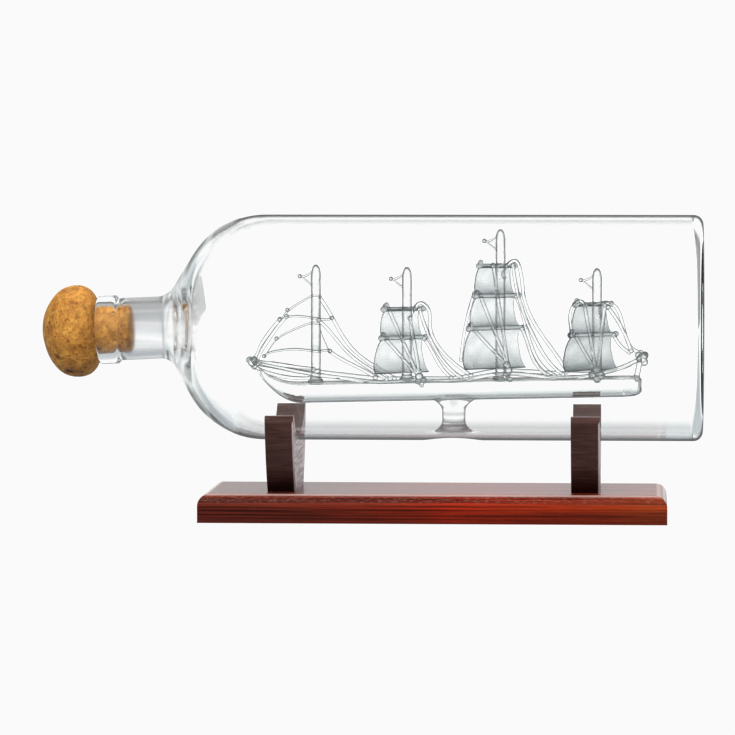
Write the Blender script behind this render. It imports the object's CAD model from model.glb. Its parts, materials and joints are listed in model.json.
"""Looks of the ship in a bottle on its CAD frame: lampworked glass, natural cork and varnished wood."""

import json
import math

import bmesh
import bpy
from mathutils import Matrix, Vector, noise


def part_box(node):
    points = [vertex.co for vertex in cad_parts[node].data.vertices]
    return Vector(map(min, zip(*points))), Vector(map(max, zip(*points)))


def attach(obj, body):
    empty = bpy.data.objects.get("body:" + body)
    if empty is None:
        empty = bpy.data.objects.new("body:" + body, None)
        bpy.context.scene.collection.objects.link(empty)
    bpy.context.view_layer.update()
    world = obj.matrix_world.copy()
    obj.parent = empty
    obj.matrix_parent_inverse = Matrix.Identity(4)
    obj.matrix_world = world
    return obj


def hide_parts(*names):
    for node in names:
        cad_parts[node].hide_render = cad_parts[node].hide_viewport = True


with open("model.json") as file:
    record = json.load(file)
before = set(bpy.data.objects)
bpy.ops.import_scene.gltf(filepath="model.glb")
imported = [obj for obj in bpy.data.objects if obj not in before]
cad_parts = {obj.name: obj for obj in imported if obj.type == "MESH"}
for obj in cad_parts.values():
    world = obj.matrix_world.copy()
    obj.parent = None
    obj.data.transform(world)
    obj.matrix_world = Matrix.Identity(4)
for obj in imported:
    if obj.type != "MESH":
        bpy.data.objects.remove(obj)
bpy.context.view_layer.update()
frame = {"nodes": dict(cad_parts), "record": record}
nodes = frame["nodes"]

MM = 0.001

# Lengths are in millimetres unless a comment says otherwise, and heights count from the board's underside.
# +X runs along the keel to the bottle's closed end. A pair of ends is a span over which something changes.

# ---- View ----
VIEW_AIM = Vector((-28.8, 0.0, 63.0)) * MM
VIEW_DISTANCE = 1.9  # metres
VIEW_YAW = math.radians(3.5)  # towards the bottle's closed end
VIEW_RISE = math.radians(2.9)
VIEW_WIDTH = 0.3103  # width of the picture at the aim point, in metres
SENSOR = 36.0
CLIP_END = 60  # metres

# ---- Studio. The background that the camera sees has brightness 1. ----
PANEL = 1.25  # the white panel behind the object
ROOM = 0.10  # the dim room around it, as it falls on wood and cork
ROOM_IN_GLASS = 0.19  # the same, seen in the glass
ROOM_RIGHT = 0.38  # the room to the right, seen in the glass
ROOM_DEEP = 0.45  # the room for rays that have passed many surfaces
FRONT = 0.75  # the room behind the camera, as it falls on wood and cork
FRONT_IN_GLASS = 0.35  # the same, mirrored in the glass
OVERHEAD = 1.1  # the ceiling panel, as it falls on wood and cork
OVERHEAD_IN_GLASS = 0.45  # the same, mirrored in the glass
ON_WOOD = 0.55  # share of the studio's light that falls on wood and cork
WHITE_SEEN = 1.0  # the background as the camera sees it
WHITE_PRINT = 0.955  # the picture's lightest tone
MANY_SURFACES = (5.5, 8.5)  # surfaces passed, while the room turns into the deep one
PANEL_SIDES = (math.cos(math.radians(44)), math.cos(math.radians(28)))  # the panel's left and right edges
PANEL_TOP = (math.sin(math.radians(24)), math.sin(math.radians(34)))  # its upper edge
CEILING = (math.sin(math.radians(38)), math.sin(math.radians(50)))  # the ceiling panel's lower edge
ZENITH = (math.sin(math.radians(66)), math.sin(math.radians(76)))  # its upper edge, straight overhead
ROOM_TURN = (0.5, 0.8)  # rightward share of a direction, while the room turns into the right one
FRONT_SPAN = (-0.55, -0.20)  # forward share of a direction, while the room behind the camera ends
LOW_VIEW = (0.10, 0.25)  # steepness of the camera, while the tones that only a low view has end
SOFT_BOXES = [  # name, place and size in metres, power in watts
    ("key", (-0.7, -1.5, 1.0), 1.0, 34.0),
    ("fill", (1.1, -1.2, 0.6), 1.0, 12.0),
    ("top", (0.1, 0.2, 1.3), 1.1, 16.0),
]
MOST_SURFACES = 40  # glass surfaces that one ray may pass
MOST_MIRRORINGS = 16

# ---- Floor, in metres from the board's centre ----
FLOOR_FAR = 12.0
FLOOR_NEAR = -3.0
FLOOR_SIDE = 6.0
FLOOR_TONE = (0.54, 0.575, 0.60)  # what steep rays through the glass see of the floor by the object
FLOOR_TO_PANEL = (0.06, 0.36)  # behind the object, while that tone turns into the panel
FLOOR_TO_FRONT = (-0.10, 0.02)  # in front of it, while the dimmed tone ends
FLOOR_FRONT = 0.35  # share of the tone that is left in front
CONTACT_REACH = 0.02  # how far the shade reaches from where the board stands
CONTACT_SHADE = 0.84

# ---- Glass. Facing is 0 where a surface faces the eye and 1 where it is seen edge-on. ----
GLASS_IOR = 1.47
CLEAR_TINT = (0.995, 1.0, 0.998)
SHADOW_TINT = (0.97, 0.97, 0.97)
EDGE_GREY = (0.12, 0.12, 0.125)
TRAPPED_GREY = (0.30, 0.34, 0.32)
TRAPPED_DEPTH = 22  # surfaces passed before a ray counts as trapped
BOTTLE_EDGE = [(0.72, 0.0), (0.765, 0.35), (0.80, 0.80), (0.87, 0.98)]  # (facing, darkness)
SHIP_EDGE = [(0.10, 0.0), (0.20, 0.40), (0.40, 0.72), (0.65, 0.95)]
HULL_EDGE = [(0.50, 0.0), (0.58, 0.60), (0.70, 0.95)]
SAIL_EDGE = [(0.35, 0.0), (0.65, 0.25), (0.90, 0.55)]
YARD_EDGE = [(0.20, 0.0), (0.90, 0.30)]
SHEET_EDGE = [(0.03, 0.0), (0.10, 0.50), (0.30, 0.85)]
BOTTLE_RIPPLE = (0.3, 12.0)  # height in millimetres, waves per metre
ROD_RIPPLE = (0.2, 300.0)
HULL_RIPPLE = (0.3, 120.0)
SAIL_RIPPLE = (0.4, 180.0)
YARD_RIPPLE = (0.3, 180.0)
SHEET_RIPPLE = (0.1, 180.0)
RIPPLE_STRENGTH = 0.3
STILL_END = (96.0, 104.0)  # x, while the ripple ends before the closed end
DECK_FADE = (57.0, 60.5)  # heights above the welds on deck, while the rods' outlines grow full
DECK_SHARE = 0.5  # share of the outline at the welds
INNER_SHARE = 1.30  # share of the ship's outlines that is kept, at most all of it,
INNER_LOSS = 0.20  # less this much for each surface passed before
SMOKE_ROUGHNESS = 0.35  # of fully clouded glass
POST_RINGS = [(43.6, 1.1, 0.22), (38.9, 0.8, 0.65), (36.3, 1.3, 0.42)]  # height, half width, darkness
RING_CORE = 0.4  # share of the half width that is fully dark
NECK_TONES = [  # share of the dark edge that the blown shoulder and neck keep, by x
    (-160.0, 0.30), (-134.0, 0.30), (-132.0, 0.12), (-112.0, 0.15), (-106.0, 0.35), (-103.0, 0.85),
    (-97.0, 0.85), (-95.0, 0.25), (-86.0, 0.30), (-82.0, 1.0), (120.0, 1.0),
]
NECK_HAZE = (-133.0, -129.0, -112.0, -106.0)  # x where grey bands in the neck start, fill, fade and end
HAZE_ROUGHNESS = 0.20
END_ON = (0.70, 0.95)  # share of the camera's direction along the keel, while the bottle's outline fades

# ---- Wood and cork ----
VARNISH_SHEEN = (0.50, 0.51, 0.53)  # of the board, seen through the glass
SHEEN_TO_WHITE = (0.2, 0.4)  # rightward share of a ray, while the sheen turns white
BOARD_LOW = (3.5, 6.0)  # heights, while the board's dark lower edge ends
BOARD_HIGH = (7.5, 10.0)  # heights, while pale open pores begin to show
CRADLE_FOOT = (12.5, 24.0)  # heights, while the cradles' near black feet end
CORK_END_ON = (0.72, 0.84)  # share of a ray that runs along the neck, while the cork is lost to sight

# ---- Bottle, from its own axis ----
BODY_R = 47.5
WALL = 2.2
END_X = 112.4
END_ROUND = 4.0
END_ROUND_INSIDE = 3.0
CORNER_STRIP = 0.3  # a narrow strip beside a round corner keeps the flat flat
SHOULDER_X = -72.0
SHOULDER_R = 36.0
SHOULDER_TURN = 60.0  # degrees
NECK_FILLET = 8.0
NECK_R = 13.2
LIP_R = 14.5
LIP_LENGTH = 9.5
LIP_SLOPE = 1.3
LIP_ROUND = 1.6
MOUTH_ROUND = 0.8
LIP_FACE_X = -143.0
BORE_R = 10.2
DOME_X = -70.0  # start of the shoulder inside
DOME_R = 33.4
DOME_TURN = 64.0  # degrees
THROAT_R = 6.0
NECK_BEND = math.radians(2.6)
BEND_START = -103.0
BEND_END = -117.0
BEND_PIVOT = -110.0
POST_X = 7.7
DIMPLE_R = 13.0
DIMPLE_DEPTH = 2.3
DIMPLE_MARGIN = 2.0
UNEVEN_X = -98.0  # the blown shoulder is most uneven here
UNEVEN_REACH = 18.0
UNEVEN_HEIGHT = 0.55
UNEVEN_WAVES = 0.05  # per millimetre
OUTER_SKIN_R = 46.0  # beyond this radius the skin has waves of its own
SKIN_SHIFT = 7.0  # by this shift in the noise
BOTTLE_SEGMENTS = 256

# ---- Cork, from the neck's axis ----
CORK_GAP = 0.06
CORK_HEAD_R = 19.5
CORK_HEAD_DEPTH = 23.5
CORK_UNDER_ROUND = 8.5
CORK_DOME_TURN = 50.0  # degrees of the tight arc between the head's side and its flat dome
CORK_SHANK = 14.5
CORK_SHANK_ROUND = 1.6
CORK_SEGMENTS = 280
PIT_BAND_X = -155.5  # the head is most pitted here
PIT_BAND_WIDTH = 2.6
PIT_BAND_SHARE = 0.75  # share of cells that this adds to the pitted ones
PIT_SHARE = 0.35  # share of cells with a pit elsewhere, more or less by patches
PATCH_WAVES = 0.16  # per millimetre
PIT_SIZES = [(0.42, 0.26), (0.8, 0.34)]  # cells per millimetre, and largest pit radius in cells
PIT_SMALLEST = 0.45  # of the largest radius
PIT_STEEPNESS = 1.6
PIT_SEED = 4.0
PIT_DEPTH_HEAD = 0.45
PIT_DEPTH_SHANK = 0.3
WORM_HOLES = [((-158.5, -13.0, -9.6), 2.2), ((-155.2, -9.0, -16.6), 2.6)]  # centre and radius
HOLE_STEEPNESS = 1.8
HOLE_RAGGED = (1.3, 0.35)  # waves per millimetre, and share of the radius
LUMPS = (0.06, 0.35)  # waves per millimetre, and height
GRIT = (0.9, 0.06)  # the same, for the skin's fine grain

# ---- Square sails ----
BRACE = math.radians(38.0)  # how far the yards are turned
ALONG_YARD = Vector((math.cos(BRACE), math.sin(BRACE), 0))
TO_BOW = Vector((-math.sin(BRACE), math.cos(BRACE), 0))
SAIL_CELLS = 28  # rows and columns of a sail's mesh
SAIL_FILM = 0.30  # half thickness
SAIL_RIM = 0.32  # more at the rim
SAIL_STAND_OFF = 0.45  # from the node's face to the sheet's middle
SAIL_UNEVEN = 0.16
SAIL_ROUNDNESS = (2.6, 3.4, 2.4)  # powers of the belly's curve: to the head, to the foot, to the sides
SAIL_SIDE_SHARE = 0.62  # of the belly, at the sides
SMOKE_FOOT = (0.8, 0.45)  # more smoke at the foot, growing from this share of the height down
SMOKE_FOOT_CURVE = (1.3, 0.46)  # its power, and what that power comes to at the foot
SMOKE_HEAD = (0.3, 0.12)  # more smoke at the head, gone at this share of the height
SMOKE_PATCHES = (0.16, 220.0)  # more or less in patches, waves per metre
SAIL_EDGE_ROW = 0.4  # points this close to a sail's top or foot give its width there
SQUARE_SAILS = {  # how far each bellies out, and how smoky its glass is
    "main_upper_sail": (3.4, 0.10),
    "main_lower_sail": (4.4, 0.10),
    "mizzen_upper_sail": (3.6, 0.28),
    "mizzen_middle_sail": (4.0, 0.14),
    "mizzen_lower_sail": (5.0, 0.14),
    "jigger_upper_sail": (3.0, 0.34),
    "jigger_lower_sail": (4.8, 0.42),
}

# ---- Rods and yards ----
YARD_CLOUD = 0.8
MELT_VOXEL = 0.16
MELT_WOBBLE = 0.10
MELT_WAVES = (260.0, 700.0)  # long and short waves per metre
RELAX_STEPS = 4
YARD_SWELL = 0.03  # how much flame work rounds the rods out, on the radius
ROD_SWELL = 0.20
MAST_SWELL = 0.34

# ---- Clear sheets: fore sails and pennants ----
SHEET_COLUMNS = 44
SHEET_FILM = 0.14  # half thickness inside the rim
SHEET_RIM = 0.48  # radius of the thickened rim
SHEET_BEAD = 0.95  # radius of the melted beads
SHORTEST_EDGE = 0.01  # where the two edges are closer than this, they meet
RIM_SECTION = [  # (inwards from the edge, half thickness), in rim radii
    (0, 0), (0.13, 0.5), (0.5, 0.87), (1.0, 1.0), (1.5, 0.87), (1.87, 0.5), (2.4, 0.0), (3.0, 0.0),
]
FORE_SAIL_Y = 1.85  # the fore sails hang this far behind the mast's axis
# The upper and the lower edge are points (aft of the mast, height). Heights count from the bottle's axis for
# the sails and from the mast's top for a pennant. Beads sit on some of the upper edge's points.
FORE_SHEETS = {
    "fore_upper_sail": (
        [(-15.4, 3.0), (-12.2, 7.2), (-6.0, 11.4), (0, 13.8), (3.4, 8.6), (6.6, 3.8)],
        [(-15.4, 3.0), (-10.0, 4.0), (-5.0, 3.8), (0, 3.0), (5.2, 2.6), (6.6, 3.8)],
    ),
    "fore_lower_sail": (
        [(-22.0, -12.4), (-16.8, -4.9), (-9.0, -0.4), (0, 2.2), (3.0, -4.0), (5.8, -10.2)],
        [(-22.0, -12.4), (-17.6, -10.9), (-9.0, -10.0), (0, -10.8), (3.0, -10.6), (5.8, -10.2)],
    ),
}
PENNANT_SHEET = (
    [(-6.8, -4.7), (-3.8, -3.8), (-1.0, -1.8)],
    [(-6.8, -4.7), (-3.6, -7.6), (-1.2, -9.4)],
)
FORE_BEADS = (0, 1, -1)  # the first, second and last point
PENNANT_BEADS = (0,)

axis_z = (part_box("glass_bottle")[1].z - BODY_R * MM) / MM  # height of the bottle's axis


# ---- node trees ----


MIX_FACTOR, MIX_A, MIX_B, MIX_RESULT = "i0", "i6", "i7", 2  # sockets of a Mix node set to colours


def grey(tone):
    return (tone, tone, tone)


def opaque(colour):
    """A colour with full alpha. A socket stays as it is."""
    return colour if isinstance(colour, bpy.types.NodeSocket) else (*colour, 1.0)


class Nodes:
    """A material's or world's node tree, with short calls to add and join nodes."""

    def __init__(self, name, is_world=False):
        self.owner = bpy.data.worlds.new(name) if is_world else bpy.data.materials.new(name)
        self.owner.use_nodes = True
        self.tree = self.owner.node_tree
        self.tree.nodes.clear()
        kind = "World" if is_world else "Material"
        self.output = self.tree.nodes.new("ShaderNodeOutput" + kind)

    def add(self, kind, settings=None, **inputs):
        """Adds a node. Inputs go by name, with _ for a blank, or by place: i0, i1 and so on."""
        node = self.tree.nodes.new("ShaderNode" + kind)
        for key, value in (settings or {}).items():
            setattr(node, key, value)
        for key, value in inputs.items():
            by_place = key[0] == "i" and key[1:].isdigit()
            socket = node.inputs[int(key[1:]) if by_place else key.replace("_", " ")]
            if isinstance(value, bpy.types.NodeSocket):
                self.tree.links.new(value, socket)
            elif isinstance(value, bpy.types.Node):
                self.tree.links.new(value.outputs[0], socket)
            else:
                socket.default_value = value
        return node

    def coords(self, scale=(1, 1, 1), turn=(0, 0, 0)):
        place = self.add("TexCoord")
        mapping = self.add("Mapping", Vector=place.outputs["Object"], Scale=scale, Rotation=turn)
        return mapping.outputs[0]

    def noise(self, where, scale, detail=4.0, rough=0.55, distortion=0.0):
        node = self.add(
            "TexNoise", Vector=where, Scale=scale, Detail=detail, Roughness=rough, Distortion=distortion
        )
        return node.outputs["Fac"]

    def grain(self, scale, detail=4.0, rough=0.55, distortion=0.0, turn=(0, 0, 0)):
        """Noise with its own number of waves per metre along x, y and z."""
        return self.noise(self.coords(scale, turn), 1.0, detail, rough, distortion)

    def ramp(self, value, stops):
        node = self.add("ValToRGB", Fac=value)
        band = node.color_ramp
        while len(band.elements) < len(stops):
            band.elements.new(0.5)
        for element, (place, colour) in zip(band.elements, stops):
            element.position = place
            element.color = opaque(colour)
        return node.outputs["Color"]

    def mix(self, share, a, b, mode="MIX"):
        sockets = {MIX_FACTOR: share, MIX_A: opaque(a), MIX_B: opaque(b)}
        return self.add("Mix", {"data_type": "RGBA", "blend_type": mode}, **sockets).outputs[MIX_RESULT]

    def math(self, operation, a, b=0.0, clamp=False):
        return self.add("Math", {"operation": operation, "use_clamp": clamp}, i0=a, i1=b).outputs[0]

    def times(self, *values):
        product = values[0]
        for value in values[1:]:
            product = self.math("MULTIPLY", product, value)
        return product

    def span(self, value, low, high, start=0.0, end=1.0, kind="SMOOTHSTEP"):
        """Change from start to end while the value goes from low to high."""
        node = self.add(
            "MapRange", {"interpolation_type": kind}, Value=value,
            From_Min=low, From_Max=high, To_Min=start, To_Max=end,
        )
        return node.outputs[0]

    def scaled(self, *change):
        """The same, in a straight line."""
        return self.span(*change, kind="LINEAR")

    def choose(self, flag, without, within):
        """One value where the flag is 0 and another where it is 1."""
        return self.span(flag, 0.0, 1.0, without, within)

    def split(self, vector):
        return self.add("SeparateXYZ", Vector=vector).outputs

    def surface(self, fact):
        """A fact about the surface where a ray meets it, such as its Normal."""
        return self.add("NewGeometry").outputs[fact]

    def ray(self, fact):
        return self.add("LightPath").outputs[fact]

    def attribute(self, name):
        return self.add("Attribute", {"attribute_name": name}).outputs["Fac"]

    def facing(self):
        return self.add("LayerWeight", Blend=0.5).outputs["Facing"]

    def view(self):
        """The direction the camera looks in. The studio's panel and floor tones turn with it."""
        turned = {"vector_type": "VECTOR", "convert_from": "CAMERA", "convert_to": "WORLD"}
        return self.split(self.add("VectorTransform", turned, Vector=(0, 0, 1)))

    def steepness(self):
        return self.math("ABSOLUTE", self.view()[2])

    def placed(self, vector):
        """How far a point or direction lies ahead of the camera and to its right, level with the floor."""
        look, spot = self.view(), self.split(vector)
        level = self.math("SQRT", self.math("SUBTRACT", 1.0, self.times(look[2], look[2])))
        ahead = self.math("ADD", self.times(look[0], spot[0]), self.times(look[1], spot[1]))
        right = self.math("SUBTRACT", self.times(look[1], spot[0]), self.times(look[0], spot[1]))
        return self.math("DIVIDE", ahead, level), self.math("DIVIDE", right, level)

    def bump(self, height, strength, distance):
        return self.add("Bump", Height=height, Strength=strength, Distance=distance).outputs[0]

    def light(self, colour):
        return self.add("Emission", Color=opaque(colour))

    def blend(self, share, a, b):
        return self.add("MixShader", i0=share, i1=a, i2=b)

    def finish(self, shader):
        self.tree.links.new(shader.outputs[0], self.output.inputs["Surface"])
        return self.owner


def dress(obj, material):
    obj.data.materials.clear()
    obj.data.materials.append(material)


def stand_for(piece, node, body):
    """Puts a drawn piece in the place of a CAD node, on its body and with its finish."""
    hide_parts(node)
    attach(piece, body)


def smooth(obj):
    for polygon in obj.data.polygons:
        polygon.use_smooth = True


def new_object(name, verts, faces):
    mesh = bpy.data.meshes.new(name)
    mesh.from_pydata(verts, [], faces)
    mesh.update()
    obj = bpy.data.objects.new(name, mesh)
    bpy.context.scene.collection.objects.link(obj)
    smooth(obj)
    return obj


def set_values(obj, attribute, values):
    """Gives each point of a mesh a number, which materials read by the attribute's name."""
    numbers = obj.data.attributes.new(attribute, "FLOAT", "POINT")
    numbers.data.foreach_set("value", values)


def limited(value):
    return min(1.0, max(0.0, value))


# ---- glass ----


def outline(n, edge):
    """Darkness by how edge-on the surface is seen, from a list of (facing, darkness)."""
    return n.ramp(n.facing(), [(place, grey(dark)) for place, dark in edge])


def rippled(n, ripple):
    """Normal with the faint ripple that flame work leaves."""
    height, waves_per_metre = ripple
    start, end = STILL_END
    waves = n.noise(n.coords(), waves_per_metre, 2.0)
    share = n.span(n.split(n.coords())[0], start * MM, end * MM, 1.0, 0.0)
    return n.bump(n.times(waves, share), RIPPLE_STRENGTH, height * MM)


def cast(n, ripple, tint, roughness, rim):
    """Finishes a glass that is drawn grey where the rim is dark.

    Shadow rays pass, and rays trapped for long inside a wall end in its own grey-green.
    """
    clear = n.add("BsdfGlass", Color=tint, Roughness=roughness, IOR=GLASS_IOR, Normal=rippled(n, ripple))
    drawn = n.blend(rim, clear, n.light(EDGE_GREY))
    trapped = n.math("GREATER_THAN", n.ray("Ray Depth"), TRAPPED_DEPTH)
    ended = n.blend(trapped, drawn, n.light(TRAPPED_GREY))
    passing = n.math("MAXIMUM", n.ray("Is Shadow Ray"), n.ray("Is Diffuse Ray"))
    return n.finish(n.blend(passing, ended, n.add("BsdfTransparent", Color=opaque(SHADOW_TINT))))


def blown_glass():
    """The bottle's glass, with faint grey bands along the neck.

    Its outline shows to the camera only, is weak on the blown shoulder and neck, and fades when seen end-on.
    """
    n = Nodes("bottle_glass")
    along_keel = n.split(n.coords())[0]
    start, full, fading, end = [x * MM for x in NECK_HAZE]
    haze = n.times(n.span(along_keel, start, full), n.span(along_keel, fading, end, 1.0, 0.0))
    bands = n.grain((6, 60, 190), 2.0)
    band_tones = n.ramp(bands, [
        (0.35, (0.855, 0.865, 0.87)), (0.50, grey(1.0)), (0.62, (0.885, 0.893, 0.897)),
    ])
    low, high = NECK_TONES[0][0], NECK_TONES[-1][0]
    along = n.scaled(along_keel, low * MM, high * MM)
    kept = n.ramp(along, [((x - low) / (high - low), grey(tone)) for x, tone in NECK_TONES])
    end_on = n.span(n.math("ABSOLUTE", n.view()[0]), *END_ON, 1.0, 0.0)
    rim = n.times(outline(n, BOTTLE_EDGE), n.ray("Is Camera Ray"), kept, end_on)
    return cast(n, BOTTLE_RIPPLE, n.mix(haze, CLEAR_TINT, band_tones), n.times(haze, HAZE_ROUGHNESS), rim)


def worked_glass(name, edge, ripple, is_smoky=False, is_on_deck=False, rings=()):
    """The ship's glass. Its outlines weaken behind other glass.

    Smoky glass turns grey and milky by the mesh's cloud attribute. Rings are fused seams around an upright
    post: (height, half width, darkness).
    """
    n = Nodes(name)
    height = n.split(n.coords())[2]
    tint = opaque(CLEAR_TINT)
    roughness = 0.0
    if is_smoky:
        cloud = n.attribute("cloud")
        tint = n.ramp(cloud, [(0.0, (0.97, 0.975, 0.98)), (1.0, (0.60, 0.625, 0.63))])
        roughness = n.times(cloud, SMOKE_ROUGHNESS)
    rim = outline(n, edge)
    for ring_height, half, dark in rings:
        away = n.math("ABSOLUTE", n.math("SUBTRACT", height, ring_height * MM))
        rim = n.math("MAXIMUM", rim, n.span(away, RING_CORE * half * MM, half * MM, dark, 0.0))
    if is_on_deck:
        low, high = DECK_FADE
        rim = n.times(rim, n.span(height, low * MM, high * MM, DECK_SHARE, 1.0))
    loss = n.times(n.ray("Ray Depth"), INNER_LOSS)
    rim = n.times(rim, n.math("SUBTRACT", INNER_SHARE, loss, True))
    return cast(n, ripple, tint, roughness, rim)


# ---- wood, cork and steel ----


def mahogany():
    """Varnished reddish wood: long dark grain, red to orange-brown drift, clear gloss coat.

    Seen through the glass from a low view it is mostly the sheen of its varnish.
    """
    n = Nodes("mahogany_varnish")
    x, _, z = n.split(n.coords())
    wander = n.grain((14, 20, 60), 3.0)
    streaks = n.grain((7, 700, 1300), 5.0, 0.6, 0.8)
    fibres = n.grain((60, 1600, 2200), 3.0, 0.6)
    pores = n.grain((500, 1800, 1800), 2.0, 0.5)
    drift = n.math("ADD", n.times(x, 5.0), n.times(wander, 0.5))
    reds = n.ramp(drift, [
        (0.0, (0.085, 0.012, 0.006)), (0.16, (0.130, 0.012, 0.004)), (0.34, (0.190, 0.012, 0.003)),
        (0.60, (0.150, 0.014, 0.003)), (0.80, (0.180, 0.026, 0.006)),
    ])
    streak_tones = n.ramp(streaks, [(0.38, (0.24, 0.18, 0.18)), (0.49, grey(0.9)), (0.60, (1.9, 1.8, 1.4))])
    fibre_tones = n.ramp(fibres, [(0.35, (0.45, 0.4, 0.4)), (0.62, (1.15, 1.1, 1.1))])
    pore_tones = n.ramp(pores, [(0.50, grey(0.0)), (0.70, grey(0.35))])
    colour = n.mix(0.9, reds, streak_tones, "MULTIPLY")
    colour = n.mix(0.55, colour, fibre_tones, "MULTIPLY")
    low = n.span(z, BOARD_LOW[0] * MM, BOARD_LOW[1] * MM, 0.62, 0.0)
    colour = n.mix(low, colour, (0.35, 0.33, 0.4), "MULTIPLY")
    high = n.span(z, BOARD_HIGH[0] * MM, BOARD_HIGH[1] * MM)
    colour = n.mix(n.times(high, pore_tones), colour, (0.26, 0.12, 0.09))
    upward = n.split(n.surface("Normal"))[2]
    worn_edge = n.times(n.span(upward, 0.80, 0.92), n.span(upward, 0.97, 0.998, 0.5, 0.0))
    colour = n.mix(worn_edge, colour, (0.62, 0.42, 0.38))
    height = n.math("ADD", n.times(streaks, 0.6), n.times(fibres, 0.4))
    wood = n.add(
        "BsdfPrincipled", Base_Color=colour, Roughness=0.38, Specular_IOR_Level=0.12,
        Normal=n.bump(height, 0.25, 0.4 * MM),
        Coat_Weight=n.scaled(n.facing(), 0.25, 0.90, 0.06, 0.60), Coat_Roughness=0.10,
    )
    rightward = n.times(n.split(n.surface("Incoming"))[0], -1.0)
    sheen = n.light(n.mix(n.span(rightward, *SHEEN_TO_WHITE), VARNISH_SHEEN, grey(1.0)))
    share = n.times(n.ray("Is Transmission Ray"), n.span(n.steepness(), *LOW_VIEW, 0.97, 0.0))
    return n.finish(n.blend(share, wood, sheen))


def walnut():
    """Dark stained wood with fine upright grain, a satin coat and worn pale corners."""
    n = Nodes("walnut_stain")
    height = n.split(n.coords())[2]
    lines = n.grain((90, 700, 1500), 4.0, 0.6, 0.5)
    slant = n.grain((60, 1500, 160), 4.0, 0.6, 0.3, turn=(math.radians(35), 0, 0))
    hatch = n.grain((60, 45, 900), 2.0, 0.5, turn=(math.radians(48), 0, 0))
    drift = n.noise(n.coords(), 55.0, 4.0)
    facing = n.facing()
    browns = n.ramp(lines, [
        (0.3, (0.030, 0.013, 0.011)), (0.5, (0.052, 0.024, 0.020)), (0.75, (0.085, 0.043, 0.036)),
    ])
    slant_tones = n.ramp(slant, [(0.3, (0.55, 0.5, 0.5)), (0.7, (1.25, 1.2, 1.2))])
    drift_tones = n.ramp(drift, [(0.3, (0.6, 0.55, 0.5)), (0.7, (1.25, 1.2, 1.15))])
    colour = n.mix(0.6, browns, slant_tones, "MULTIPLY")
    colour = n.mix(0.5, colour, drift_tones, "MULTIPLY")
    sheen = n.ramp(hatch, [(0.36, (0.17, 0.10, 0.105)), (0.58, (0.54, 0.42, 0.45))])
    colour = n.mix(n.span(facing, 0.70, 0.90, 0.0, 0.92), colour, sheen)
    low = n.span(height, CRADLE_FOOT[0] * MM, CRADLE_FOOT[1] * MM, 0.97, 0.0)
    foot = n.times(low, n.span(facing, 0.5, 0.8, 1.0, 0.0))
    colour = n.mix(foot, colour, (0.004, 0.001, 0.001))
    normal = n.split(n.surface("Normal"))
    corner = n.math("MULTIPLY", normal[0], n.times(normal[1], -2.0), True)
    patchy = n.ramp(drift, [(0.3, grey(0.5)), (0.5, grey(1.0))])
    colour = n.mix(n.times(n.math("POWER", corner, 1.3), patchy), colour, (0.60, 0.53, 0.52))
    bare = n.math("MAXIMUM", n.ray("Is Transmission Ray"), foot)
    coat = n.times(n.scaled(facing, 0.25, 0.90, 0.05, 0.12), n.math("SUBTRACT", 1.0, bare))
    shader = n.add(
        "BsdfPrincipled", Base_Color=colour, Roughness=n.math("ADD", n.times(lines, 0.25), 0.3),
        Specular_IOR_Level=0.25, Normal=n.bump(n.math("ADD", lines, slant), 0.3, 0.3 * MM),
        Coat_Weight=coat, Coat_Roughness=0.25,
    )
    return n.finish(shader)


def cork():
    """Granulated cork: golden grains, yellow patches, and dark brown pits by the mesh's pit attribute.

    Rays that reach it along the neck, or through many walls, mostly see plain light.
    """
    n = Nodes("cork_grain")
    where = n.coords()
    cells = n.add("TexVoronoi", Vector=where, Scale=620.0)
    crumbs = n.add("TexVoronoi", Vector=where, Scale=380.0, Randomness=1.0)
    mottling = n.noise(where, 230.0, 6.0, 0.7, 0.5)
    flecks = n.noise(where, 700.0, 3.0, 0.6)
    golds = n.ramp(mottling, [
        (0.30, (0.27, 0.105, 0.022)), (0.42, (0.37, 0.160, 0.030)), (0.55, (0.46, 0.215, 0.040)),
        (0.72, (0.60, 0.33, 0.060)),
    ])
    crumb_tones = n.ramp(crumbs.outputs["Color"], [
        (0.2, (0.62, 0.56, 0.50)), (0.5, grey(1.0)), (0.9, (1.3, 1.3, 1.2)),
    ])
    cell_tones = n.ramp(cells.outputs["Color"], [(0.2, (0.72, 0.66, 0.60)), (0.8, (1.15, 1.12, 1.0))])
    fleck_tones = n.ramp(flecks, [(0.32, (0.28, 0.16, 0.10)), (0.42, grey(1.0))])
    colour = n.mix(0.5, golds, crumb_tones, "MULTIPLY")
    colour = n.mix(0.6, colour, cell_tones, "MULTIPLY")
    colour = n.mix(0.8, colour, fleck_tones, "MULTIPLY")
    colour = n.mix(n.attribute("pit"), colour, (0.085, 0.026, 0.012))
    height = n.math("ADD", n.times(mottling, 0.5), n.times(flecks, 0.5))
    bark = n.add("BsdfPrincipled", Base_Color=colour, Roughness=0.8, Normal=n.bump(height, 0.7, 0.8 * MM))
    walls_passed = n.ray("Transmission Depth")
    along_neck = n.span(n.split(n.surface("Incoming"))[0], *CORK_END_ON)
    deep = n.times(n.math("GREATER_THAN", walls_passed, 2.5), 0.6)
    end_on = n.times(along_neck, n.math("GREATER_THAN", walls_passed, 0.5))
    return n.finish(n.blend(n.math("MAXIMUM", deep, end_on), bark, n.light(grey(0.9))))


def zinc_steel():
    n = Nodes("zinc_steel")
    grain = n.noise(n.coords(), 900.0, 4.0)
    colour = n.ramp(grain, [(0.3, (0.40, 0.40, 0.41)), (0.7, (0.62, 0.62, 0.64))])
    rough = n.math("ADD", n.times(grain, 0.3), 0.2)
    return n.finish(n.add("BsdfPrincipled", Base_Color=colour, Metallic=1.0, Roughness=rough))


# ---- turned shapes ----


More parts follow.
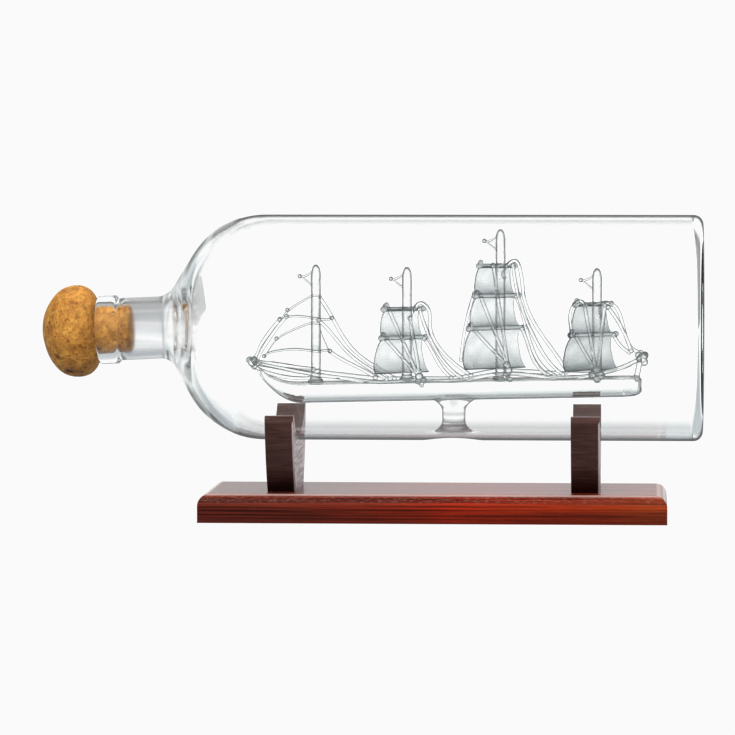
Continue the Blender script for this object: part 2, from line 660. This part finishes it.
class Profile:
    """Points (x, radius) in millimetres along lines and tangent arcs."""

    def __init__(self, x, r):
        self.points = [(x, r)]
        self.heading = 0.0

    def to(self, x, r, step=6.0):
        """A line to a point, in steps of at most so many millimetres."""
        x0, r0 = self.points[-1]
        self.heading = math.atan2(r - r0, x - x0)
        count = max(1, math.ceil(math.hypot(x - x0, r - r0) / step))
        for i in range(1, count + 1):
            self.points.append((x0 + (x - x0) * i / count, r0 + (r - r0) * i / count))
        return self

    def ahead(self, length, step=2.0):
        x0, r0 = self.points[-1]
        return self.to(x0 + length * math.cos(self.heading), r0 + length * math.sin(self.heading), step)

    def arc(self, radius, turn, step=4.0):
        """Turns by so many degrees, anticlockwise if positive, in steps of at most so many degrees."""
        side = math.copysign(radius, turn)
        x0, r0 = self.points[-1]
        centre_x, centre_r = x0 - side * math.sin(self.heading), r0 + side * math.cos(self.heading)
        count = max(2, math.ceil(abs(turn) / step))
        for i in range(1, count + 1):
            angle = self.heading + math.radians(turn) * i / count
            self.points.append((centre_x + side * math.sin(angle), centre_r - side * math.cos(angle)))
        self.heading += math.radians(turn)
        return self


def turn_profile(name, points, segments):
    """Turns a profile about the bottle's axis. Points on the axis become single vertices."""
    verts, faces, rings = [], [], []
    for x, r in points:
        count = 1 if abs(r) < 1e-6 else segments
        rings.append(range(len(verts), len(verts) + count))
        for i in range(count):
            angle = 2 * math.pi * i / segments
            verts.append((x * MM, r * MM * math.sin(angle), (axis_z - r * math.cos(angle)) * MM))
    for a, b in zip(rings, rings[1:]):
        for i in range(segments):
            j = (i + 1) % segments
            corners = [a[j % len(a)], a[i % len(a)], b[i % len(b)], b[j % len(b)]]
            faces.append(tuple(dict.fromkeys(corners)))  # a triangle beside a single vertex
    return new_object(name, verts, faces)


def slant_length(r_high, r_low, turn, first_arc, last_arc):
    """Length of the slant between two tangent arcs that lead from one radius to another."""
    angle = math.radians(turn)
    return (r_high - r_low - (first_arc + last_arc) * (1 - math.cos(angle))) / math.sin(angle)


def bend(co):
    """Droop of the neck: nothing in the shoulder, all of it from the neck's root on."""
    x = co.x / MM
    share = limited((BEND_START - x) / (BEND_START - BEND_END))
    share = share * share * (3 - 2 * share)
    pivot = Vector((BEND_PIVOT * MM, 0, axis_z * MM))
    turn = Matrix.Rotation(-NECK_BEND * share, 4, "Y")
    return pivot + turn @ (co - pivot)


def draw_outside(wall):
    """The bottle's outside, from the middle of its closed end to its mouth."""
    wall.to(END_X, BODY_R - END_ROUND - CORNER_STRIP).to(END_X, BODY_R - END_ROUND).arc(END_ROUND, 90)
    wall.to(END_X - END_ROUND - CORNER_STRIP, BODY_R)
    wall.to(POST_X + DIMPLE_R + DIMPLE_MARGIN, BODY_R)
    wall.to(POST_X - DIMPLE_R - DIMPLE_MARGIN, BODY_R, step=0.9)
    wall.to(SHOULDER_X, BODY_R)
    wall.arc(SHOULDER_R, SHOULDER_TURN, step=2.0)
    wall.ahead(slant_length(BODY_R, NECK_R, SHOULDER_TURN, SHOULDER_R, NECK_FILLET), step=1.2)
    wall.arc(NECK_FILLET, -SHOULDER_TURN)
    lip_x = LIP_FACE_X + LIP_LENGTH
    wall.to(lip_x, NECK_R, step=3.0)
    wall.to(lip_x - LIP_SLOPE, LIP_R, step=0.6)
    wall.to(LIP_FACE_X + LIP_ROUND, LIP_R, step=2.0)
    wall.arc(LIP_ROUND, 90, step=15.0)
    wall.to(LIP_FACE_X, BORE_R + MOUTH_ROUND, step=1.0)
    wall.arc(MOUTH_ROUND, 90, step=15.0)


def draw_inside(wall):
    """The bottle's inside, from its mouth back to the middle of its closed end."""
    inner_r = BODY_R - WALL
    inner_end = END_X - WALL
    angle = math.radians(DOME_TURN)
    slant = slant_length(inner_r, BORE_R, DOME_TURN, DOME_R, THROAT_R)
    throat_x = DOME_X - (DOME_R + THROAT_R) * math.sin(angle) - slant * math.cos(angle)
    wall.to(throat_x, BORE_R, step=3.0)
    wall.arc(THROAT_R, DOME_TURN).ahead(slant, step=1.2).arc(DOME_R, -DOME_TURN, step=2.0)
    wall.to(POST_X - DIMPLE_R - DIMPLE_MARGIN, inner_r)
    wall.to(POST_X + DIMPLE_R + DIMPLE_MARGIN, inner_r, step=0.9)
    wall.to(inner_end - END_ROUND_INSIDE - CORNER_STRIP, inner_r).to(inner_end - END_ROUND_INSIDE, inner_r)
    wall.arc(END_ROUND_INSIDE, -90)
    wall.to(inner_end, inner_r - END_ROUND_INSIDE - CORNER_STRIP)
    wall.to(inner_end, 0)


def bottle():
    """The blown bottle: closed end, body, shoulder, thick neck root, neck and lip, dented under the post."""
    wall = Profile(END_X, 0)
    draw_outside(wall)
    draw_inside(wall)
    shell = turn_profile("blown_bottle", wall.points, BOTTLE_SEGMENTS)
    for vertex in shell.data.vertices:
        co = vertex.co
        x, y, z = co.x / MM, co.y / MM, co.z / MM - axis_z
        r = math.hypot(y, z)
        if abs(x - POST_X) < DIMPLE_R and r > BODY_R - 2 * WALL:
            reach = math.hypot(x - POST_X, BODY_R * math.atan2(y, -z)) / DIMPLE_R
            if reach < 1:
                push = 1 - DIMPLE_DEPTH * (1 - reach * reach) ** 1.5 / r
                co.y, co.z = co.y * push, (axis_z + z * push) * MM
        shift = SKIN_SHIFT if r > OUTER_SKIN_R else 0.0
        wave = noise.noise(Vector((x * UNEVEN_WAVES, y * UNEVEN_WAVES, z * UNEVEN_WAVES + shift)))
        flow = math.exp(-(((x - UNEVEN_X) / UNEVEN_REACH) ** 2))
        co.y += y / max(r, 1) * wave * UNEVEN_HEIGHT * flow * MM
        co.z += z / max(r, 1) * wave * UNEVEN_HEIGHT * flow * MM
        vertex.co = bend(co)
    stand_for(shell, "glass_bottle", "bottle")
    return shell


def pit_depth(place):
    """Depth (0 to 1) of the cork's pits at a place in millimetres: scattered, and thick in some patches."""
    band = PIT_BAND_SHARE * math.exp(-(((place.x - PIT_BAND_X) / PIT_BAND_WIDTH) ** 2))
    patch = noise.noise(place * PATCH_WAVES + Vector((PIT_SEED, 3.1, 0))) + band
    deepest = 0.0
    for scale, largest in PIT_SIZES:
        distances, centres = noise.voronoi(place * scale + Vector((PIT_SEED, 0, 9.0)))
        size_draw = abs(noise.cell(centres[0] * 7.3))
        pit_draw = abs(noise.cell(centres[0] * 3.7 + Vector((5, 0, 0))))
        size = largest * (PIT_SMALLEST + (1 - PIT_SMALLEST) * size_draw)
        if pit_draw < PIT_SHARE + patch:
            deepest = max(deepest, limited(PIT_STEEPNESS * (1 - distances[0] / size)))
    for hole, size in WORM_HOLES:
        ragged = 1 + HOLE_RAGGED[1] * noise.noise(place * HOLE_RAGGED[0])
        reach = (place - Vector(hole)).length * ragged
        deepest = max(deepest, limited(HOLE_STEEPNESS * (1 - reach / size)))
    return deepest


def cork_form():
    """The cork's profile: a shank in the bore, a round under the head, and two arcs over the dome."""
    turn = math.radians(CORK_DOME_TURN)
    sin, cos = math.sin(turn), math.cos(turn)
    depth = CORK_HEAD_DEPTH - CORK_UNDER_ROUND
    flat_r = (CORK_HEAD_R * sin - depth * (1 - cos)) / (sin * cos - (1 - sin) * (1 - cos))
    tight_r = (depth - flat_r * (1 - sin)) / sin
    shank_r = BORE_R - CORK_GAP
    shank_end = LIP_FACE_X + CORK_SHANK
    under_x = LIP_FACE_X - CORK_GAP
    form = Profile(shank_end, 0)
    form.to(shank_end, shank_r - CORK_SHANK_ROUND, step=0.3).arc(CORK_SHANK_ROUND, 90, step=8.0)
    form.to(under_x, shank_r, step=0.35)
    form.to(under_x, CORK_HEAD_R - CORK_UNDER_ROUND, step=0.35)
    form.arc(CORK_UNDER_ROUND, 90, step=2.2)
    form.arc(tight_r, CORK_DOME_TURN, step=1.4)
    form.arc(flat_r, 90 - CORK_DOME_TURN, step=0.8)
    form.points[-1] = (form.points[-1][0], 0.0)
    return form


def cork_stopper():
    """Mushroom cork with an uneven, pitted skin. Its shank never swells into the glass."""
    stopper = turn_profile("mushroom_cork", cork_form().points, CORK_SEGMENTS)
    head_x = LIP_FACE_X - CORK_GAP - CORNER_STRIP
    normals = [v.normal.copy() for v in stopper.data.vertices]
    pits = []
    for vertex, normal in zip(stopper.data.vertices, normals):
        co = vertex.co
        place = Vector((co.x, co.y, co.z - axis_z * MM)) / MM
        pit = pit_depth(place)
        grit = noise.fractal(place * GRIT[0], 1.0, 2.0, 4) * GRIT[1]
        if place.x < head_x:
            lumps = noise.fractal(place * LUMPS[0], 1.0, 2.0, 2) * LUMPS[1]
            lift = lumps + grit - pit * PIT_DEPTH_HEAD
        else:
            lift = min(grit - pit * PIT_DEPTH_SHANK, 0.0)
        vertex.co = bend(co + normal * (lift * MM))
        pits.append(pit)
    set_values(stopper, "pit", pits)
    stand_for(stopper, "cork_stopper", "stopper")
    return stopper


# ---- sails and rods ----


def apply_modifiers(obj):
    graph = bpy.context.evaluated_depsgraph_get()
    mesh = bpy.data.meshes.new_from_object(obj.evaluated_get(graph))
    obj.modifiers.clear()
    obj.data = mesh
    smooth(obj)


def sail_spans(name):
    """A square sail's top and foot, from its CAD node: (height, near end, far end, offset to the bow)."""
    lo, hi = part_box(name)
    spans = []
    for level in (hi.z, lo.z):
        row = [v.co for v in nodes[name].data.vertices if abs(v.co.z - level) < SAIL_EDGE_ROW * MM]
        along = [co.dot(ALONG_YARD) for co in row]
        bow = [co.dot(TO_BOW) for co in row]
        spans.append((level, min(along), max(along), min(bow)))
    return spans


def sail_skin(name, billow, side):
    """One skin of a blown sheet of glass, full at the middle and thick at the rim. Side is -1 or 1."""
    (z0, near0, far0, bow0), (z1, near1, far1, bow1) = sail_spans(name)
    to_head, to_foot, to_sides = SAIL_ROUNDNESS
    skin = []
    for i in range(SAIL_CELLS + 1):
        t = i / SAIL_CELLS  # 0 at the top, 1 at the foot
        from_middle = abs(2 * t - 1)
        rise = 1 - from_middle ** (to_head if t < 0.5 else to_foot)
        near = near0 + (near1 - near0) * t
        far = far0 + (far1 - far0) * t
        middle, half = (near + far) / 2, (far - near) / 2
        for j in range(SAIL_CELLS + 1):
            s = 2 * j / SAIL_CELLS - 1  # -1 and 1 at the two sides
            fullness = SAIL_SIDE_SHARE + (1 - SAIL_SIDE_SHARE) * (1 - abs(s) ** to_sides)
            rim = max(abs(s) ** 10, from_middle ** 14)
            depth = bow0 + (bow1 - bow0) * t + billow * MM * rise * fullness
            depth += SAIL_STAND_OFF * MM
            depth += SAIL_UNEVEN * MM * noise.noise(Vector((s * 2.1, t * 2.3, z0 * 90)))
            depth += side * (SAIL_FILM + SAIL_RIM * rim) * MM
            co = ALONG_YARD * (middle + half * s) + TO_BOW * depth
            skin.append(Vector((co.x, co.y, z0 + (z1 - z0) * t)))
    return skin


def closed_sheet(name, skins, cells):
    """Joins two square grids of points into one closed, rounded sheet."""
    across = cells + 1
    count = len(skins[0])
    faces = []
    for i in range(cells):
        for j in range(cells):
            a = i * across + j
            faces.append((a, a + across, a + across + 1, a + 1))
            faces.append((count + a, count + a + 1, count + a + across + 1, count + a + across))
    border = list(range(across))
    border += [i * across + cells for i in range(1, across)]
    border += [cells * across + j for j in range(cells - 1, -1, -1)]
    border += [i * across for i in range(cells - 1, 0, -1)]
    for a, b in zip(border, border[1:] + border[:1]):
        faces.append((a, b, count + b, count + a))
    obj = new_object(name, [tuple(co) for skin in skins for co in skin], faces)
    rounding = obj.modifiers.new("rounding", "SUBSURF")
    rounding.levels = rounding.render_levels = 1
    apply_modifiers(obj)
    return obj


def square_sail(name):
    """A blown sail, smokier in patches, towards its foot and along its head."""
    billow, smoke = SQUARE_SAILS[name]
    (z0, *_), (z1, *_) = sail_spans(name)
    skins = [sail_skin(name, billow, -1), sail_skin(name, billow, 1)]
    sheet = closed_sheet(name.replace("_sail", "_blown_sail"), skins, SAIL_CELLS)
    values = []
    for vertex in sheet.data.vertices:
        down = (z0 - vertex.co.z) / (z0 - z1)
        patch = SMOKE_PATCHES[0] * noise.noise(vertex.co * SMOKE_PATCHES[1] + Vector((0, 0, z0 * 300)))
        foot = SMOKE_FOOT[0] * max(0.0, down - SMOKE_FOOT[1]) ** SMOKE_FOOT_CURVE[0] / SMOKE_FOOT_CURVE[1]
        head = SMOKE_HEAD[0] * max(0.0, SMOKE_HEAD[1] - down) / SMOKE_HEAD[1]
        values.append(limited(smoke + foot + head + patch))
    set_values(sheet, "cloud", values)
    stand_for(sheet, name, "bottle")
    return sheet


def curve_points(points, count):
    """Points evenly spread along the numbers of a smooth curve through a few given points."""
    inner = [Vector(point) for point in points]
    before = 2 * inner[0] - inner[1]
    after = 2 * inner[-1] - inner[-2]
    line = [before, *inner, after]
    curve = []
    for i in range(count):
        place = (len(points) - 1) * i / (count - 1)
        k = min(int(place), len(points) - 2)
        t = place - k
        a, b, c, d = line[k : k + 4]
        square = 2 * a - 5 * b + 4 * c - d
        cube = 3 * b - a - 3 * c + d
        curve.append(0.5 * (2 * b + (c - a) * t + square * t**2 + cube * t**3))
    return curve


def sheet_section(height):
    """Closed section of a clear sheet: (down from its upper edge, half thickness), round its rim and film."""
    half = []
    for s, h in RIM_SECTION:
        film = SHEET_FILM if s else 0
        half.append((min(s * SHEET_RIM, height / 2), max(h * SHEET_RIM, film)))
    side = half + [(height - s, h) for s, h in reversed(half[:-1])]
    return side + [(s, -h) for s, h in reversed(side[1:-1])]


def rimmed_sheet(node, edges, beads, origin):
    """A thin clear film with a thick round rim and melted beads. It hangs upright along the keel."""
    upper, lower = edges
    verts, faces = [], []
    for top, foot in zip(curve_points(upper, SHEET_COLUMNS), curve_points(lower, SHEET_COLUMNS)):
        reach = foot - top
        height = max(reach.length, 2 * SHEET_RIM)
        down = reach.normalized() if reach.length > SHORTEST_EDGE else Vector((0, -1))
        start = (top + foot) / 2 - down * height / 2
        for s, h in sheet_section(height):
            spot = start + down * s
            verts.append(((origin.x + spot.x) * MM, (origin.y + h) * MM, (origin.z + spot.y) * MM))
    count = len(verts) // SHEET_COLUMNS
    for j in range(SHEET_COLUMNS - 1):
        for i in range(count):
            k = (i + 1) % count
            faces.append((j * count + i, j * count + k, (j + 1) * count + k, (j + 1) * count + i))
    faces.append(tuple(range(count)))
    faces.append(tuple((SHEET_COLUMNS - 1) * count + i for i in reversed(range(count))))
    sheet = new_object(node + "_film", verts, faces)
    shape = bmesh.new()
    shape.from_mesh(sheet.data)
    bmesh.ops.recalc_face_normals(shape, faces=shape.faces)
    for x, z in [upper[bead] for bead in beads]:
        place = Matrix.Translation(Vector((origin.x + x, origin.y, origin.z + z)) * MM)
        bmesh.ops.create_icosphere(shape, subdivisions=3, radius=SHEET_BEAD * MM, matrix=place)
    shape.to_mesh(sheet.data)
    shape.free()
    smooth(sheet)
    stand_for(sheet, node, "bottle")
    return sheet


def mast_place(name):
    """A mast's distance along the keel and the height of its top, in millimetres."""
    lo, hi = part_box(name + "_mast")
    return (lo.x + hi.x) / 2 / MM, hi.z / MM


def melted(node, swell):
    """A copy of a CAD node as flame-worked glass: its joints melted together and its rods slightly uneven."""
    copy = bpy.data.objects.new(node + "_drawn", nodes[node].data.copy())
    bpy.context.scene.collection.objects.link(copy)
    remesh = copy.modifiers.new("melt", "REMESH")
    remesh.mode = "VOXEL"
    remesh.voxel_size = MELT_VOXEL * MM
    relax = copy.modifiers.new("relax", "SMOOTH")
    relax.factor = 0.5
    relax.iterations = RELAX_STEPS
    apply_modifiers(copy)
    normals = [v.normal.copy() for v in copy.data.vertices]
    long_waves, short_waves = MELT_WAVES
    for vertex, normal in zip(copy.data.vertices, normals):
        wave = noise.noise(vertex.co * long_waves) + 0.5 * noise.noise(vertex.co * short_waves)
        vertex.co = vertex.co + normal * (wave * MELT_WOBBLE + swell) * MM
    stand_for(copy, node, "bottle")
    return copy


def stand():
    """The board, the cradles and their screws keep their CAD shapes."""
    dark_wood = walnut()
    dress(nodes["base_board"], mahogany())
    dress(nodes["neck_end_cradle"], dark_wood)
    dress(nodes["closed_end_cradle"], dark_wood)
    dress(nodes["cradle_screws"], zinc_steel())


def ship():
    """The hull and its post keep their CAD shapes. All else is drawn in the place of its node."""
    cad_shapes = {
        "hull": worked_glass("hull_glass", HULL_EDGE, HULL_RIPPLE),
        "pedestal_post": worked_glass("post_glass", HULL_EDGE, HULL_RIPPLE, rings=POST_RINGS),
    }
    rod_glass = worked_glass("ship_glass", SHIP_EDGE, ROD_RIPPLE, is_on_deck=True)
    sail_glass = worked_glass("sail_glass", SAIL_EDGE, SAIL_RIPPLE, is_smoky=True)
    yard_glass = worked_glass("yard_glass", YARD_EDGE, YARD_RIPPLE, is_smoky=True)
    sheet_glass = worked_glass("sheet_glass", SHEET_EDGE, SHEET_RIPPLE)
    for name in frame["record"]["behaviour"]["bodies"]["bottle"]:
        if name in cad_shapes:
            smooth(nodes[name])
            dress(nodes[name], cad_shapes[name])
        elif name in SQUARE_SAILS:
            dress(square_sail(name), sail_glass)
        elif name in FORE_SHEETS:
            hook = Vector((mast_place("fore")[0], FORE_SAIL_Y, axis_z))
            dress(rimmed_sheet(name, FORE_SHEETS[name], FORE_BEADS, hook), sheet_glass)
        elif name.endswith("_pennant"):
            x, top = mast_place(name.removesuffix("_pennant"))
            dress(rimmed_sheet(name, PENNANT_SHEET, PENNANT_BEADS, Vector((x, 0, top))), sheet_glass)
        elif name.endswith("_yard"):
            yard = melted(name, YARD_SWELL)
            set_values(yard, "cloud", [YARD_CLOUD] * len(yard.data.vertices))
            dress(yard, yard_glass)
        elif name.endswith("_mast"):
            dress(melted(name, MAST_SWELL), rod_glass)
        elif name != "glass_bottle":
            dress(melted(name, ROD_SWELL), rod_glass)


# ---- stage ----


def floor_material():
    """Pale floor. Steep rays through the glass see it darker close to the object, darker still in front."""
    n = Nodes("pale_floor")
    ahead, _ = n.placed(n.surface("Position"))
    shade = n.add("AmbientOcclusion", {"samples": 8}, Distance=CONTACT_REACH).outputs["AO"]
    contact = n.ramp(shade, [(0.0, grey(CONTACT_SHADE)), (0.7, grey(1.0))])
    straight = n.mix(1.0, grey(WHITE_SEEN), contact, "MULTIPLY")
    bent = n.mix(n.span(ahead, *FLOOR_TO_PANEL), FLOOR_TONE, grey(PANEL))
    bent = n.mix(n.span(ahead, *FLOOR_TO_FRONT, 1.0 - FLOOR_FRONT, 0.0), bent, grey(0.0))
    bent = n.mix(n.span(n.steepness(), *LOW_VIEW), bent, grey(WHITE_SEEN))
    return n.finish(n.light(n.mix(n.ray("Is Camera Ray"), bent, straight)))


def floor():
    near = [(-FLOOR_SIDE, FLOOR_NEAR, 0), (FLOOR_SIDE, FLOOR_NEAR, 0)]
    far = [(FLOOR_SIDE, FLOOR_FAR, 0), (-FLOOR_SIDE, FLOOR_FAR, 0)]
    sheet = new_object("floor", near + far, [(0, 1, 2, 3)])
    dress(sheet, floor_material())


def studio():
    """A bright panel behind the object as the camera sees it, and a dim room: glass has dark outlines."""
    n = Nodes("studio", is_world=True)
    place = n.add("TexCoord").outputs["Generated"]
    height = n.split(place)[2]
    level = n.math("SQRT", n.math("SUBTRACT", 1.0, n.times(height, height)))
    ahead, right = n.placed(place)
    behind = n.math("DIVIDE", ahead, level)  # cosine of the azimuth from straight behind
    panel = n.times(n.span(behind, *PANEL_SIDES), n.span(height, *PANEL_TOP, 1.0, 0.0))
    ceiling = n.times(n.span(height, *CEILING), n.span(height, *ZENITH, 1.0, 0.0))
    blurred = n.math("SUBTRACT", n.ray("Is Glossy Ray"), n.ray("Is Singular Ray"))
    on_wood = n.math("MAXIMUM", n.ray("Is Diffuse Ray"), blurred)
    sides = n.choose(on_wood, n.span(right, *ROOM_TURN, ROOM_IN_GLASS, ROOM_RIGHT), ROOM)
    sides = n.span(n.ray("Ray Depth"), *MANY_SURFACES, sides, ROOM_DEEP)
    room = n.span(ahead, *FRONT_SPAN, n.choose(on_wood, FRONT_IN_GLASS, FRONT), sides)
    room = n.math("MAXIMUM", room, n.times(ceiling, n.choose(on_wood, OVERHEAD_IN_GLASS, OVERHEAD)))
    light = n.math("ADD", n.times(panel, PANEL - ROOM), room)
    light = n.times(light, n.choose(on_wood, 1.0, ON_WOOD))
    light = n.choose(n.ray("Is Camera Ray"), light, WHITE_SEEN)
    bpy.context.scene.world = n.finish(n.add("Background", Color=light))


def soft_box(name, place, size, power):
    """A soft light that glass and varnish don't mirror."""
    light = bpy.data.lights.new(name, "AREA")
    light.shape = "SQUARE"
    light.size = size
    light.energy = power
    lamp = bpy.data.objects.new(name, light)
    lamp.location = place
    lamp.rotation_euler = (VIEW_AIM - place).to_track_quat("-Z", "Y").to_euler()
    lamp.visible_glossy = False
    lamp.visible_transmission = False
    bpy.context.scene.collection.objects.link(lamp)


def camera():
    level = math.cos(VIEW_RISE)
    away = Vector((math.sin(VIEW_YAW) * level, -math.cos(VIEW_YAW) * level, math.sin(VIEW_RISE)))
    data = bpy.data.cameras.new("view")
    data.sensor_width = SENSOR
    data.lens = SENSOR * VIEW_DISTANCE / VIEW_WIDTH
    data.clip_end = CLIP_END
    view = bpy.data.objects.new("view", data)
    view.location = VIEW_AIM + away * VIEW_DISTANCE
    view.rotation_euler = (-away).to_track_quat("-Z", "Y").to_euler()
    bpy.context.scene.collection.objects.link(view)
    bpy.context.scene.camera = view


def print_tones(settings):
    """Ends the picture's highlights at one pale tone, like a print's paper white."""
    settings.view_transform = "Standard"
    settings.use_curve_mapping = True
    tones = settings.curve_mapping
    for curve in tones.curves[:3]:
        curve.points.new(0.5, 0.5)
    combined = tones.curves[3]
    combined.points[0].location = (0.0, 0.0)
    combined.points[1].location = (1.0, WHITE_PRINT)
    combined.points.new(WHITE_PRINT, WHITE_PRINT)
    for point in combined.points:
        point.handle_type = "VECTOR"
    tones.update()


def main():
    dress(bottle(), blown_glass())
    dress(cork_stopper(), cork())
    stand()
    ship()
    floor()
    studio()
    for name, place, size, power in SOFT_BOXES:
        soft_box(name, Vector(place), size, power)
    camera()
    scene = bpy.context.scene
    print_tones(scene.view_settings)
    scene.cycles.max_bounces = MOST_SURFACES
    scene.cycles.transmission_bounces = MOST_SURFACES
    scene.cycles.glossy_bounces = MOST_MIRRORINGS


main()
